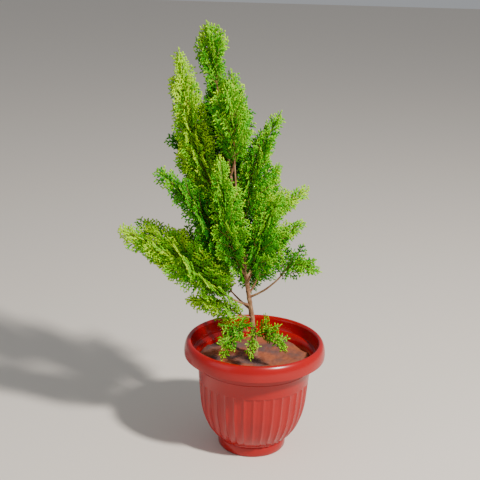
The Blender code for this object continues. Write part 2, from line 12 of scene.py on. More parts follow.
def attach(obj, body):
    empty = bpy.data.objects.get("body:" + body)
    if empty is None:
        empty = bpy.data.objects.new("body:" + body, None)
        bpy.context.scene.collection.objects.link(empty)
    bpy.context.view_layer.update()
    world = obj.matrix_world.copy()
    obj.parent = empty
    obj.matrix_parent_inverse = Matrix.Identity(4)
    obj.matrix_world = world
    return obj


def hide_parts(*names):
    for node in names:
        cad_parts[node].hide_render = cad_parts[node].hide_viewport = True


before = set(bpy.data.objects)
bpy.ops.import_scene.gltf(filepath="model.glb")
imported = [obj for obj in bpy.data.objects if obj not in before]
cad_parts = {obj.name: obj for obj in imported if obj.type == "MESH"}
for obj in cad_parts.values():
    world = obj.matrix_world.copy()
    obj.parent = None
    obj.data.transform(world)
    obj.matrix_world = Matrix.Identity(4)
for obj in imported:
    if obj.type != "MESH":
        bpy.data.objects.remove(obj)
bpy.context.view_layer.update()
print("frame loaded:", len(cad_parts), "nodes")

nodeNames = list(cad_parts)
foliageNodes = [name for name in nodeNames if name.startswith("foliage_")]
limbNodes = ["trunk"] + [name for name in nodeNames if name.startswith("bough_")]


# small helpers

def deselect():
    if bpy.context.object and bpy.context.object.mode == "EDIT":
        bpy.ops.object.mode_set(mode="OBJECT")
    bpy.ops.object.select_all(action="DESELECT")


def makeActive(piece):
    deselect()
    piece.select_set(True)
    bpy.context.view_layer.objects.active = piece


def meshFromArrays(name, points, triangles):
    mesh = bpy.data.meshes.new(name)
    mesh.vertices.add(len(points))
    mesh.vertices.foreach_set("co", np.asarray(points, dtype=np.float32).ravel())
    mesh.loops.add(3 * len(triangles))
    mesh.loops.foreach_set("vertex_index", np.asarray(triangles, dtype=np.int32).ravel())
    mesh.polygons.add(len(triangles))
    mesh.polygons.foreach_set("loop_start", np.arange(0, 3 * len(triangles), 3, dtype=np.int32))
    mesh.update(calc_edges=True)
    piece = bpy.data.objects.new(name, mesh)
    bpy.context.scene.collection.objects.link(piece)
    return piece


def getPoints(piece):
    points = np.empty(3 * len(piece.data.vertices), dtype=np.float32)
    piece.data.vertices.foreach_get("co", points)
    return points.reshape(-1, 3)


def setPoints(piece, points):
    piece.data.vertices.foreach_set("co", points.astype(np.float32).ravel())
    piece.data.update()


def turnedShape(name, rows, columns):
    # a ring is extruded and resized from row to row, like pulling a profile by hand
    deselect()
    radius, height = rows[0]
    bpy.ops.mesh.primitive_circle_add(vertices=columns, radius=radius, fill_type="NGON")
    piece = bpy.context.object
    piece.name = piece.data.name = name
    bpy.ops.object.mode_set(mode="EDIT")
    bpy.ops.mesh.select_all(action="SELECT")
    bpy.ops.transform.translate(value=(0, 0, height))
    bpy.ops.mesh.select_mode(type="EDGE")
    bpy.ops.mesh.region_to_loop()
    for nextRadius, nextHeight in rows[1:]:
        bpy.ops.mesh.extrude_edges_move(TRANSFORM_OT_translate={"value": (0, 0, nextHeight - height)})
        share = nextRadius / radius
        bpy.ops.transform.resize(value=(share, share, 1))
        radius, height = nextRadius, nextHeight
    bpy.ops.mesh.edge_face_add()
    bpy.ops.mesh.select_all(action="SELECT")
    bpy.ops.mesh.normals_make_consistent(inside=False)
    bpy.ops.object.mode_set(mode="OBJECT")
    return piece


# camera, floor and lights

cameraSet = {"place": (-0.02637, -1.48439, 0.80044), "pitchDown": 17.8, "roll": 1.65,
             "lens": 81.0, "sensorWidth": 36}
lightAim = (0, 0, 0.3)
keySet = {"place": (1.35, -1.25, 2.1), "power": 125.0, "size": 0.22, "colour": (1.0, 0.96, 0.9)}
fillSet = {"place": (-1.9, -1.3, 1.2), "power": 7.0, "size": 1.6, "colour": (0.92, 0.96, 1.0)}
skySet = {"colour": (0.93, 0.96, 1.0), "strength": 0.36}
floorSet = {"size": 14, "colour": (0.74, 0.68, 0.61), "roughness": 0.9}


def placeCamera():
    data = bpy.data.cameras.new("camera")
    data.lens = cameraSet["lens"]
    data.sensor_width = cameraSet["sensorWidth"]
    camera = bpy.data.objects.new("camera", data)
    bpy.context.scene.collection.objects.link(camera)
    tilt = Matrix.Rotation(math.radians(90 - cameraSet["pitchDown"]), 4, "X")
    roll = Matrix.Rotation(math.radians(cameraSet["roll"]), 4, "Z")
    camera.matrix_world = Matrix.Translation(cameraSet["place"]) @ tilt @ roll
    bpy.context.scene.camera = camera


def areaLight(name, place, power, size, colour):
    data = bpy.data.lights.new(name, "AREA")
    data.energy = power
    data.size = size
    data.color = colour
    lamp = bpy.data.objects.new(name, data)
    bpy.context.scene.collection.objects.link(lamp)
    lamp.location = place
    lamp.rotation_euler = (Vector(lightAim) - Vector(place)).to_track_quat("-Z", "Y").to_euler()


def placeLights():
    areaLight("keyLight", **keySet)
    areaLight("fillLight", **fillSet)
    world = bpy.data.worlds.new("studio")
    world.use_nodes = True
    background = world.node_tree.nodes["Background"]
    background.inputs["Color"].default_value = (*skySet["colour"], 1)
    background.inputs["Strength"].default_value = skySet["strength"]
    bpy.context.scene.world = world


def placeFloor():
    deselect()
    bpy.ops.mesh.primitive_plane_add(size=floorSet["size"])
    floor = bpy.context.object
    floor.name = "studioFloor"
    surface = bpy.data.materials.new("paleFloor")
    surface.use_nodes = True
    shader = surface.node_tree.nodes["Principled BSDF"]
    shader.inputs["Base Color"].default_value = (*floorSet["colour"], 1)
    shader.inputs["Roughness"].default_value = floorSet["roughness"]
    floor.data.materials.append(surface)


placeCamera()
placeLights()
placeFloor()
print("camera, lights and floor placed")


# the shader group that all the materials share

def newGroup(name, inputs, outputs):
    group = bpy.data.node_groups.new(name, "ShaderNodeTree")
    for label, kind, value in inputs:
        socket = group.interface.new_socket(label, in_out="INPUT", socket_type=kind)
        socket.default_value = value
    for label, kind in outputs:
        group.interface.new_socket(label, in_out="OUTPUT", socket_type=kind)
    group.nodes.new("NodeGroupInput")
    group.nodes.new("NodeGroupOutput")
    return group


def mottleGroup():
    # two colours mixed by soft noise, with the same noise given out as a height
    plainGrey = (0.5, 0.5, 0.5, 1)
    inputs = [("First", "NodeSocketColor", plainGrey), ("Second", "NodeSocketColor", plainGrey),
              ("Scale", "NodeSocketFloat", 40.0), ("Low", "NodeSocketFloat", 0.35),
              ("High", "NodeSocketFloat", 0.65)]
    outputs = [("Colour", "NodeSocketColor"), ("Height", "NodeSocketFloat")]
    group = newGroup("mottle", inputs, outputs)
    nodes, links = group.nodes, group.links
    source, sink = nodes["Group Input"], nodes["Group Output"]
    coords = nodes.new("ShaderNodeTexCoord")
    clouds = nodes.new("ShaderNodeTexNoise")
    clouds.inputs["Detail"].default_value = 6
    spread = nodes.new("ShaderNodeMapRange")
    mix = nodes.new("ShaderNodeMix")
    mix.data_type = "RGBA"
    links.new(coords.outputs["Object"], clouds.inputs["Vector"])
    links.new(source.outputs["Scale"], clouds.inputs["Scale"])
    links.new(clouds.outputs["Fac"], spread.inputs["Value"])
    links.new(source.outputs["Low"], spread.inputs["From Min"])
    links.new(source.outputs["High"], spread.inputs["From Max"])
    links.new(spread.outputs["Result"], mix.inputs["Factor"])
    links.new(source.outputs["First"], mix.inputs[6])
    links.new(source.outputs["Second"], mix.inputs[7])
    links.new(mix.outputs[2], sink.inputs["Colour"])
    links.new(clouds.outputs["Fac"], sink.inputs["Height"])
    return group


mottle = mottleGroup()
bumpStrength = 0.8


def mottledMaterial(name, first, second, scale, roughness, bump=0.0, low=0.35, high=0.65, shine=0.5):
    # low and high are where the noise turns from the first colour to the second
    surface = bpy.data.materials.new(name)
    surface.use_nodes = True
    nodes, links = surface.node_tree.nodes, surface.node_tree.links
    shader = nodes["Principled BSDF"]
    patches = nodes.new("ShaderNodeGroup")
    patches.node_tree = mottle
    patches.inputs["First"].default_value = (*first, 1)
    patches.inputs["Second"].default_value = (*second, 1)
    patches.inputs["Scale"].default_value = scale
    patches.inputs["Low"].default_value = low
    patches.inputs["High"].default_value = high
    links.new(patches.outputs["Colour"], shader.inputs["Base Color"])
    shader.inputs["Roughness"].default_value = roughness
    shader.inputs["Specular IOR Level"].default_value = shine
    if bump:
        relief = nodes.new("ShaderNodeBump")
        relief.inputs["Distance"].default_value = bump
        relief.inputs["Strength"].default_value = bumpStrength
        links.new(patches.outputs["Height"], relief.inputs["Height"])
        links.new(relief.outputs["Normal"], shader.inputs["Normal"])
    return surface


# pot

potSet = {"height": 0.170, "rimRadius": 0.105, "footRadius": 0.049, "footHeight": 0.017,
          "bellyRadius": 0.080, "bellyHeight": 0.080, "neckRadius": 0.0855, "skirtHeight": 0.147,
          "wall": 0.0022, "ledgeHeight": 0.151, "stepHeight": 0.132, "columns": 360, "smoothBelow": 38}
fluteSet = {"count": 36, "depth": 0.0017, "top": 0.1094, "fadeHeight": 0.012, "flatness": 1.25,
            "sharpness": 0.9, "wallHeights": (0, 0.017, 0.08, 0.147),
            "wallRadii": (0.047, 0.0482, 0.0785, 0.0845)}
potFinish = {"first": (0.36, 0.0, 0.001), "second": (0.30, 0.002, 0.004), "scale": 26.0,
             "roughness": 0.26, "bump": 0.00008, "low": 0.45, "high": 0.8}


def bowlPoint(share):
    foot, belly = potSet["footRadius"], potSet["bellyRadius"]
    corners = ((foot + 0.0005, potSet["footHeight"]), (foot + 0.013, potSet["footHeight"] + 0.006),
               (belly - 0.004, potSet["bellyHeight"] - 0.038), (belly, potSet["bellyHeight"]))
    rest = 1 - share
    weights = (rest ** 3, 3 * rest ** 2 * share, 3 * rest * share ** 2, share ** 3)
    return tuple(sum(w * corner[i] for w, corner in zip(weights, corners)) for i in (0, 1))


def wallRadius(height):
    share = (height - potSet["bellyHeight"]) / (potSet["skirtHeight"] - potSet["bellyHeight"])
    return potSet["bellyRadius"] + (potSet["neckRadius"] - potSet["bellyRadius"]) * share


def outerRows():
    # foot ring, bowl, straight wall with its step line, and the hollow under the rim
    foot, rim, skirt = potSet["footRadius"], potSet["rimRadius"], potSet["skirtHeight"]
    step, stepRadius = potSet["stepHeight"], wallRadius(potSet["stepHeight"])
    crest = rim - 0.0075
    rows = [(foot - 0.001, 0.0), (foot, 0.0004), (foot + 0.0018, 0.003), (foot + 0.0023, 0.009)]
    rows += [(foot + 0.0023, 0.0138), (foot + 0.0019, 0.0152), (foot + 0.0005, 0.0168)]
    rows += [bowlPoint(share / 14) for share in range(1, 15)]
    rows += [(wallRadius(h), h) for h in (0.090, 0.100, 0.1086, 0.1092, 0.1100, 0.1110)]
    rows += [(stepRadius, step - 0.001), (stepRadius + 0.0004, step), (stepRadius, step + 0.0006)]
    rows += [(wallRadius(0.145), 0.145), (potSet["neckRadius"] + 0.0008, skirt + 0.001)]
    rows += [(crest - 0.0025, skirt + 0.003), (crest + 0.004, skirt + 0.010)]
    rows += [(rim - 0.0022, skirt + 0.001), (rim - 0.0014, skirt), (rim - 0.0004, skirt + 0.0006)]
    return rows


def rimRows():
    # over the rolled edge, from its outside to its crest and down inside
    rim, height = potSet["rimRadius"], potSet["height"]
    crest = rim - 0.0075
    spring = potSet["skirtHeight"] + 0.0045
    rows = []
    for degrees in range(0, 91, 10):
        angle = math.radians(degrees)
        rows.append((crest + (rim - crest) * math.cos(angle), spring + (height - spring) * math.sin(angle)))
    for degrees in range(18, 91, 18):
        angle = math.radians(degrees)
        rows.append((crest - 0.0038 * math.sin(angle), height - 0.007 * (1 - math.cos(angle))))
    return rows


def innerRows():
    # the ledge, then the inner wall down to the floor under the soil
    rim, ledge = potSet["rimRadius"], potSet["ledgeHeight"]
    halfway = bowlPoint(0.5)
    rows = [(rim - 0.0133, ledge + 0.0014), (rim - 0.0137, ledge + 0.0004), (rim - 0.0145, ledge)]
    rows += [(rim - 0.0172, ledge), (rim - 0.0180, ledge - 0.0008)]
    rows += [(wallRadius(h) - potSet["wall"], h) for h in (0.146, 0.136, 0.120)]
    rows += [(wallRadius(0.1) - 0.004, 0.1), (halfway[0] - 0.004, halfway[1])]
    rows.append((potSet["footRadius"] - 0.004, 0.006))
    return rows


def cutFlutes(pot):
    points = getPoints(pot)
    radius = np.hypot(points[:, 0], points[:, 1])
    angle = np.arctan2(points[:, 1], points[:, 0])
    height = points[:, 2]
    # whatever lies farther out than these radii is the outer wall
    outside = radius > np.interp(height, fluteSet["wallHeights"], fluteSet["wallRadii"])
    inBand = outside & (height > potSet["footHeight"]) & (height < fluteSet["top"])
    share = (angle / (2 * math.pi / fluteSet["count"])) % 1.0
    hollow = np.clip(np.sin(np.pi * share) * fluteSet["flatness"], 0, 1) ** fluteSet["sharpness"]
    fade = np.clip((height - potSet["footHeight"]) / fluteSet["fadeHeight"], 0, 1) * 0.5 + 0.5
    sink = np.where(inBand, fluteSet["depth"] * hollow * fade, 0.0)
    points[:, 0] *= (radius - sink) / np.maximum(radius, 1e-6)
    points[:, 1] *= (radius - sink) / np.maximum(radius, 1e-6)
    setPoints(pot, points)


def makePot():
    pot = turnedShape("finePot", outerRows() + rimRows() + innerRows(), potSet["columns"])
    cutFlutes(pot)
    pot.data.materials.append(mottledMaterial("redPlastic", **potFinish))
    makeActive(pot)
    bpy.ops.object.shade_smooth_by_angle(angle=math.radians(potSet["smoothBelow"]))
    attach(pot, "root")
    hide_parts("pot")


makePot()
print("pot made")


# soil

soilSet = {"level": 0.140, "bump": 0.0035, "columns": 200, "rings": 70, "flatRadius": 0.012,
           "riseLength": 0.02, "clodsPerMetre": 140, "clodHeight": 0.0011}
soilFinish = {"first": (0.30, 0.075, 0.028), "second": (0.11, 0.055, 0.050), "scale": 34.0,
              "roughness": 0.93, "bump": 0.0012, "low": 0.40, "high": 0.62}
trunkSet = {"top": 0.545, "lean": 0.172, "kick": 0.006, "kickHeight": 0.030, "footY": 0.012,
            "settleHeight": 0.080, "baseRadius": 0.0042, "tipRadius": 0.0010, "flare": 0.0026,
            "flareHeight": 0.009, "rings": 220, "ringCrowding": 1.3, "sides": 24, "rough": 0.22}


def soilHeight(x, y):
    # the waves of the solid soil, level round the trunk, with small clods on top
    fromTrunk = math.hypot(x, y - trunkSet["footY"])
    share = min(1.0, max(0.0, (fromTrunk - soilSet["flatRadius"] * 1.1) / soilSet["riseLength"]))
    wave = math.sin(92 * x + 1.3) * math.cos(71 * y - 0.4) + 0.6 * math.sin(158 * y + 63 * x)
    spot = Vector((x * soilSet["clodsPerMetre"], y * soilSet["clodsPerMetre"], 0.5))
    clods = noise.fractal(spot, 0.9, 2.1, 5) * soilSet["clodHeight"]
    return soilSet["level"] + share * soilSet["bump"] * 0.5 * wave + clods


def makeSoil():
    edge = wallRadius(soilSet["level"]) - potSet["wall"] - 0.0005
    level, rings = soilSet["level"], soilSet["rings"]
    rows = [(edge - 0.006, 0.110), (edge - 0.001, 0.128), (edge, level - 0.002)]
    rows += [(edge * (1 - i / rings) + 0.0006, level) for i in range(rings)]
    soil = turnedShape("fineSoil", rows, soilSet["columns"])
    points = getPoints(soil)
    for index in np.nonzero(points[:, 2] > level - 0.001)[0]:
        points[index, 2] = soilHeight(points[index, 0], points[index, 1])
    setPoints(soil, points)
    soil.data.materials.append(mottledMaterial("lateriteSoil", **soilFinish))
    makeActive(soil)
    bpy.ops.object.shade_smooth()
    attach(soil, "root")
    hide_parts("soil")


makeSoil()
print("soil made")


# limbs, by the same rule as the solids: root height, bare length, azimuth, reach and rise of the elbow,
# then azimuth, lean and length to the tip, spread, and the tone of its sprays from 0 deep to 3 gold

# the tone column is partly the plant's own deep and golden greens and partly painted light and shade:
# masses that lie in shade get deep tones, sunlit masses lighter ones
limbSet = {
    "upper_right": (420, 18, 300, 14, 42, 160, 5, 110, 28, 1.5),
    "left_shoulder": (360, 30, 191, 54, 85, 186, 12, 157, 34, 2.5),
    "upper_front": (305, 150, 250, 46, 165, 189, 9, 97, 32, 1.6),
    "upper_back": (380, 22, 119, 48, 80, 135, 6, 125, 33, 0.9),
    "right_shoulder": (330, 26, 337, 16, 85, 356, 21, 107, 31, 1.3),
    # left_dark has tone 0.2, painted shade for a mass that lies in shade
    "left_dark": (340, 22, 155, 46, 60, 171, 43, 95, 31, 0.2),
    "left_mid": (285, 24, 226, 59, 60, 187, 42, 127, 35, 0.9),
    "front_mid": (270, 24, 246, 57, 70, 214, 10, 127, 34, 1.5),
    "right_mid": (265, 26, 45, 33, 70, 21, 52, 89, 33, 2.0),
    "right_front": (258, 24, 287, 34, 52, 337, 21, 107, 33, 1.2),
    "right_low": (240, 22, 30, 26, 55, 5, 47, 77, 29, 1.6),
    "left_low": (222, 40, 207, 75, 53, 178, 61, 142, 42, 2.2),
    "right_spray": (235, 62, 337, 60, 58, 348, 96, 46, 24, 1.6),
    "left_skirt": (202, 18, 216, 43, 26, 189, 79, 65, 30, 2.5),
    "left_under": (215, 38, 144, 77, 60, 163, 66, 74, 33, 2.2),
    "foot_left": (192, 16, 246, 40, 10, 223, 137, 56, 22, 1.6),
    "foot_right": (175, 12, 300, 31, 17, 318, 116, 48, 19, 1.8),
    "foot_front": (183, 20, 270, 34, 8, 262, 138, 41, 16, 1.9),
    "back_mid": (310, 24, 100, 49, 60, 108, 17, 110, 33, 1.0),
    "back_left": (300, 26, 140, 65, 60, 149, 40, 91, 32, 1.0),
    "back_right": (290, 26, 68, 55, 60, 45, 31, 82, 32, 1.5),
    "back_low": (225, 24, 100, 47, 40, 101, 46, 71, 31, 1.6),
}
crownTop = (180, 10, 92, 30, 1.8)
limbShape = {"elbowOut": 0.60, "elbowUp": 0.30, "tipPull": 0.33, "steps": 12, "thickening": 0.0050,
             "stemStart": 0.0011, "stemTip": 0.0004, "lookAhead": 0.004}
boughSet = {"sides": 12, "rough": 0.16, "fewestRings": 8, "ringGap": 0.0014, "overlap": 0.002}
grainSet = {"round": 2.2, "upward": 120, "sideways": 90}
barkFinish = {"first": (0.23, 0.088, 0.042), "second": (0.42, 0.23, 0.12), "scale": 130.0,
              "roughness": 0.82, "bump": 0.0006}


def trunkPoint(height):
    climb = height - soilSet["level"]
    x = trunkSet["kick"] * (1 - math.exp(-climb / trunkSet["kickHeight"])) - trunkSet["lean"] * climb
    return Vector((x, trunkSet["footY"] * math.exp(-climb / trunkSet["settleHeight"]), height))


def trunkRadius(height):
    climb = max(0.0, height - soilSet["level"])
    share = climb / (trunkSet["top"] - soilSet["level"])
    taper = trunkSet["baseRadius"] + (trunkSet["tipRadius"] - trunkSet["baseRadius"]) * share ** 0.9
    return taper + trunkSet["flare"] * math.exp(-climb / trunkSet["flareHeight"])


def heading(azimuth, lean):
    a, b = math.radians(azimuth), math.radians(lean)
    return Vector((math.cos(a) * math.sin(b), math.sin(a) * math.sin(b), math.cos(b)))


def bend(start, middle, end, share):
    rest = 1 - share
    return start * rest ** 2 + middle * 2 * rest * share + end * share ** 2


def sideVectors(direction):
    reference = Vector((0, 0, 1)) if abs(direction.z) < 0.9 else Vector((0, 1, 0))
    across = direction.cross(reference).normalized()
    return across, direction.cross(across).normalized()


def limbPoints(name):
    steps = limbShape["steps"]
    if name == "crown_top":
        azimuth, lean, length = crownTop[:3]
        elbow = trunkPoint(trunkSet["top"])
        along = (elbow - trunkPoint(trunkSet["top"] - 0.01)).normalized()
        points = []
    else:
        height, _, boughAzimuth, reach, rise, azimuth, lean, length = limbSet[name][:8]
        root = trunkPoint(height / 1000)
        out, up = heading(boughAzimuth, 90) * reach / 1000, Vector((0, 0, rise / 1000))
        middle, elbow = root + out * limbShape["elbowOut"] + up * limbShape["elbowUp"], root + out + up
        along = (elbow - middle).normalized()
        points = [bend(root, middle, elbow, i / steps) for i in range(steps)]
    tip = elbow + heading(azimuth, lean) * length / 1000
    pull = elbow + along * length * limbShape["tipPull"] / 1000
    return points + [bend(elbow, pull, tip, i / steps) for i in range(steps + 1)]


class Limb:
    def __init__(self, name):
        self.name, self.points = name, limbPoints(name)
        self.marks = [0.0]
        for low, high in zip(self.points, self.points[1:]):
            self.marks.append(self.marks[-1] + (high - low).length)
        self.length = self.marks[-1]
        row = crownTop if name == "crown_top" else limbSet[name]
        self.spread, self.tone = row[-2] / 1000, row[-1]
        self.bare = 0.0 if name == "crown_top" else row[1] / 1000
        self.tipLength = min(tipSet["share"] * (self.length - self.bare), tipSet["longest"])

    def at(self, distance):
        index = 0
        while index < len(self.marks) - 2 and distance > self.marks[index + 1]:
            index += 1
        share = (distance - self.marks[index]) / (self.marks[index + 1] - self.marks[index])
        return self.points[index].lerp(self.points[index + 1], share)

    def ahead(self, distance):
        low = max(0.0, distance - limbShape["lookAhead"])
        high = min(self.length, distance + limbShape["lookAhead"])
        return (self.at(high) - self.at(low)).normalized()

    def run(self, start, end, count):
        return [self.at(start + (end - start) * i / (count - 1)) for i in range(count)]


def tubeArrays(path, radii, sides, rough, first):
    # rings of points along a path, closed at both ends, with a little bark relief
    points, triangles = [], []
    across = sideVectors((path[1] - path[0]).normalized())[0]
    for index, (place, radius) in enumerate(zip(path, radii)):
        ahead = (path[min(index + 1, len(path) - 1)] - path[max(index - 1, 0)]).normalized()
        across = (across - ahead * across.dot(ahead)).normalized()
        other = ahead.cross(across)
        for side in range(sides):
            angle = 2 * math.pi * side / sides
            out = across * math.cos(angle) + other * math.sin(angle)
            spot = place + out * radius
            if rough:
                upward = place.z * grainSet["upward"] + place.x * grainSet["sideways"]
                grain = noise.fractal(Vector((angle * grainSet["round"], upward, 1.7)), 0.8, 2.2, 4)
                spot += out * radius * rough * grain
            points.append(spot)
    rings = len(path)
    for ring in range(rings - 1):
        for side in range(sides):
            a, b = ring * sides + side, ring * sides + (side + 1) % sides
            triangles += [(a, b, b + sides), (a, b + sides, a + sides)]
    points += [path[0], path[-1]]
    low, high = rings * sides, rings * sides + 1
    for side in range(sides):
        following = (side + 1) % sides
        triangles.append((low, following, side))
        triangles.append((high, (rings - 1) * sides + side, (rings - 1) * sides + following))
    return points, [(a + first, b + first, c + first) for a, b, c in triangles]


def joinTubes(name, tubes):
    points, triangles = [], []
    for path, radii, sides, rough in tubes:
        more, faces = tubeArrays(path, radii, sides, rough, len(points))
        points += more
        triangles += faces
    return meshFromArrays(name, [tuple(point) for point in points], triangles)


def makeBark(limbs):
    rings = trunkSet["rings"]
    foot = soilSet["level"] - 0.001
    climb = trunkSet["top"] - foot
    heights = [foot + climb * (i / (rings - 1)) ** trunkSet["ringCrowding"] for i in range(rings)]
    path = [trunkPoint(height) for height in heights]
    radii = [trunkRadius(height) for height in heights]
    tubes = [(path, radii, trunkSet["sides"], trunkSet["rough"])]
    for limb in limbs:
        if limb.bare:
            root = limbShape["stemStart"] + limbShape["thickening"] * limb.length
            count = max(boughSet["fewestRings"], int(limb.bare / boughSet["ringGap"]))
            path = limb.run(0.0, limb.bare + boughSet["overlap"], count)
            radii = [root + (limbShape["stemStart"] - root) * i / (count - 1) for i in range(count)]
            tubes.append((path, radii, boughSet["sides"], boughSet["rough"]))
    bark = joinTubes("barkLimbs", tubes)
    bark.data.materials.append(mottledMaterial("reddishBark", **barkFinish))
    makeActive(bark)
    bpy.ops.object.shade_smooth()
    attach(bark, "root")
    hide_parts(*limbNodes)


# foliage

# lengths in metres, angles in degrees, and each name that ends in Spread is how far a value may stray

spraySet = {"seed": 41, "seedStep": 17, "fewest": 5, "spacing": 0.0017, "turn": 137.5, "turnSpread": 14,
            "angleFoot": 50, "angleTip": 26, "angleSpread": 6, "reach": 1.65, "smallest": 0.72,
            "largest": 1.05, "width": 0.66, "lift": 0.12, "faceSpread": 0.5, "toneRise": 0.5,
            "toneSpread": 0.5, "shortest": 0.012, "margin": -0.10,
            "tries": ((1.0, 1.0), (0.82, 0.85), (0.66, 0.7), (0.5, 0.6))}
tipSet = {"share": 0.36, "longest": 0.058, "twists": (0.0, 1.3, 2.4), "shrink": 0.07, "toneRise": 0.6}
pinnaSet = {"first": 0.10, "last": 0.97, "gap": 0.0036, "gapLow": 0.85, "gapHigh": 1.15, "angle": 50,
            "closing": 16, "angleSpread": 5, "tilt": 0.22, "shortest": 0.004, "fullness": 1.12,
            "smallest": 0.82, "largest": 1.12, "toneRise": 0.9, "toneSpread": 0.35}
leafletSet = {"first": 0.0026, "last": 0.92, "gap": 0.0028, "gapLow": 0.85, "gapHigh": 1.15, "angle": 42,
              "closing": 8, "angleSpread": 6, "length": 0.0070, "smallest": 0.75, "largest": 1.15,
              "longestShare": 0.6, "halfWidth": 0.00115, "narrowest": 0.82, "widest": 1.05,
              "thickness": 0.55, "rootWidth": 0.72, "widestAt": 0.55, "brightFrom": 0.62,
              "brightChance": 0.6}
twigSet = {"sides": 4, "radii": (0.00062, 0.00052, 0.00042, 0.00032, 0.0002), "stemPoints": 14,
           "stemShare": 0.97}
roomSet = {"stemPoints": 12, "overRim": 0.006, "overSoil": 0.003, "insideRim": 0.082,
           "testShares": (0.3, 0.55, 0.8, 1.0), "lastShare": 0.97}
leafFinish = {"scale": 55.0, "roughness": 0.62, "shine": 0.12}
twigFinish = {"first": (0.20, 0.24, 0.04), "second": (0.36, 0.17, 0.06), "scale": 90.0, "roughness": 0.7}
# leaf tones dealt out by spray: deep is both the plant's inner green and painted shade, lime and gold both
# its golden growth and painted sunlight
toneSet = [("deep", (0.006, 0.085, 0.003), (0.014, 0.140, 0.004)),
           ("green", (0.030, 0.250, 0.003), (0.060, 0.350, 0.004)),
           ("lime", (0.120, 0.430, 0.002), (0.200, 0.560, 0.004)),
           ("gold", (0.330, 0.660, 0.003), (0.470, 0.780, 0.008))]
trianglesPerPiece = 190000
trianglesPerLeaflet = 14


def distanceTo(points, path):
    start, run = path[:-1], path[1:] - path[:-1]
    offset = points[:, None, :] - start[None, :, :]
    share = np.clip((offset * run).sum(axis=2) / (run * run).sum(axis=1), 0.0, 1.0)
    return np.linalg.norm(offset - share[..., None] * run, axis=2).min(axis=1)


class Space:
    # the room of each mass, as in the solids but a little looser
    def __init__(self, limbs):
        self.stems, self.spreads = {}, {}
        for limb in limbs:
            self.stems[limb.name] = np.array(limb.run(limb.bare, limb.length, roomSet["stemPoints"]))
            self.spreads[limb.name] = limb.spread

    def holds(self, name, points):
        own = distanceTo(points, self.stems[name]) / self.spreads[name]
        for other, stem in self.stems.items():
            if other == name:
                continue
            theirs = distanceTo(points, stem) / self.spreads[other]
            if (own + spraySet["margin"] > theirs).any():
                return False
        low = points[points[:, 2] < potSet["height"] + roomSet["overRim"]]
        if not len(low):
            return True
        overSoil = low[:, 2].min() > soilSet["level"] + roomSet["overSoil"]
        return overSoil and np.hypot(low[:, 0], low[:, 1]).max() < roomSet["insideRim"]


class Leaflets:
    # every small branchlet of one tone, gathered and turned into one mesh at the end
    def __init__(self):
        self.rows = []

    def add(self, foot, along, facing, length, half):
        self.rows.append((*foot, *along, *facing, length, half))

    def arrays(self, rows):
        rows = np.array(rows, dtype=np.float64)
        foot, along, facing = rows[:, 0:3], rows[:, 3:6], rows[:, 6:9]
        length, half = rows[:, 9:10], rows[:, 10:11]
        across = np.cross(facing, along)
        across /= np.linalg.norm(across, axis=1, keepdims=True)
        facing = np.cross(along, across)
        corners = []
        for share, scale in ((0.0, leafletSet["rootWidth"]), (leafletSet["widestAt"], 1.0)):
            middle = foot + along * length * share
            reach, thick = half * scale, half * scale * leafletSet["thickness"]
            corners += [middle + across * reach, middle + facing * thick,
                        middle - across * reach, middle - facing * thick]
        corners.append(foot + along * length)
        points = np.stack(corners, axis=1).reshape(-1, 3)
        shape = [(0, 3, 2), (0, 2, 1)]
        for side in range(4):
            following = (side + 1) % 4
            shape += [(side, following, following + 4), (side, following + 4, side + 4)]
            shape.append((side + 4, following + 4, 8))
        triangles = (np.array(shape)[None] + 9 * np.arange(len(rows))[:, None, None]).reshape(-1, 3)
        return points, triangles


def halfWidth(share, length):
    # widest two fifths of the way along a spray
    full = length * spraySet["width"] / 2
    if share < 0.42:
        return full * (1 - 0.75 * ((0.42 - share) / 0.42) ** 2)
    return full * (1 - ((share - 0.42) / 0.58) ** 2)


def toneLevel(value):
    return min(len(toneSet) - 1, max(0, value))


def growLeaflets(start, pinna, facing, reach, level, tones, rng):
    # one side branchlet, with leaflets on each side of it in turn
    tones[level].add(start, pinna, facing, reach, leafletSet["halfWidth"])
    step, way = leafletSet["first"], rng.choice((-1, 1))
    inPlane = facing.cross(pinna).normalized()
    while step < reach * leafletSet["last"]:
        part = step / reach
        stray = rng.uniform(-leafletSet["angleSpread"], leafletSet["angleSpread"])
        lean = math.radians(leafletSet["angle"] - leafletSet["closing"] * part + stray)
        leaflet = pinna * math.cos(lean) + inPlane * way * math.sin(lean)
        size = leafletSet["length"] * (1.05 - 0.45 * part)
        size = size * rng.uniform(leafletSet["smallest"], leafletSet["largest"])
        size = min(size, reach * leafletSet["longestShare"])
        brighter = part > leafletSet["brightFrom"] and rng.random() < leafletSet["brightChance"]
        half = leafletSet["halfWidth"] * rng.uniform(leafletSet["narrowest"], leafletSet["widest"])
        foot = start + pinna * step
        tones[toneLevel(level + int(brighter))].add(foot, leaflet.normalized(), facing, size, half)
        step += leafletSet["gap"] * rng.uniform(leafletSet["gapLow"], leafletSet["gapHigh"])
        way = -way


